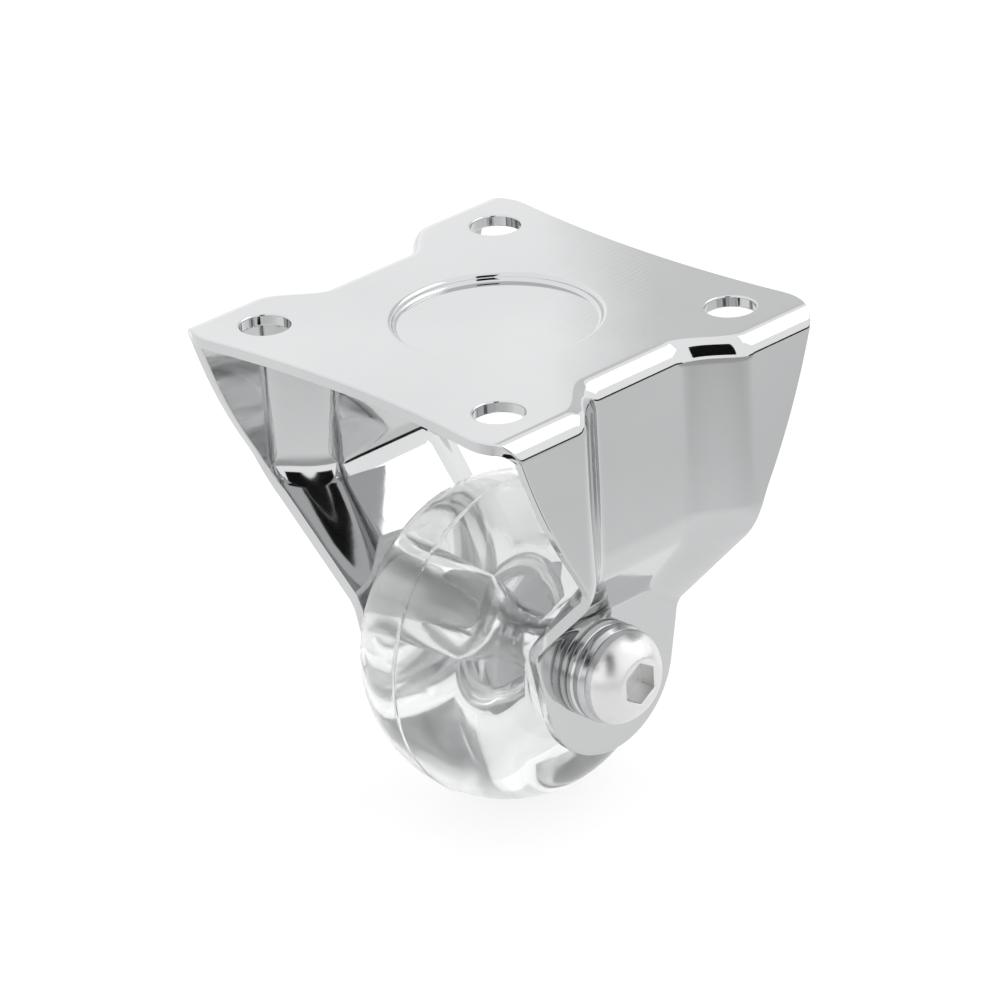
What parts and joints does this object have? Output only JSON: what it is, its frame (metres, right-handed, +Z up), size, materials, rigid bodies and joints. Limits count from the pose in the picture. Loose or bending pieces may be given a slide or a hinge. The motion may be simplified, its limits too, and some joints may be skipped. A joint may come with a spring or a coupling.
{
  "type": "fixed castor",
  "caption": "Fixed castor: a clear wheel turning on a bolt through the two pressed legs of a chromed one-piece plate bracket.",
  "frame": {"origin": "centre of the four-hole pattern on the plate's top face, which seats against the furniture", "axes": "+Z up, out of the plate's top face; the wheel rolls along X and turns about Y; the bolt's head is on the -Y side"},
  "size_m": [0.046, 0.0484, 0.0538],
  "materials": {
    "chromed_sheet": "bright chromium plate over pressed steel sheet",
    "clear_wheel": "clear, slightly cloudy moulded polyurethane",
    "bolt_plating": "nickel-plated steel",
    "spring_steel": "zinc-plated spring steel",
    "nut_nylon": "moulded nylon ring"
  },
  "bodies": {
    "fork": {"bracket": "chromed_sheet", "axle_bolt": "bolt_plating", "flat_washers": "bolt_plating", "spring_washer": "spring_steel", "lock_nut": "bolt_plating", "lock_nut_insert": "nut_nylon"},
    "wheel": {"wheel": "clear_wheel"}
  },
  "joints": [
    {"name": "wheel_spin", "type": "hinge", "parent": "fork", "child": "wheel", "pos_m": [0, 0, -0.0362], "axis": [0, 1, 0], "continuous": true}
  ]
}
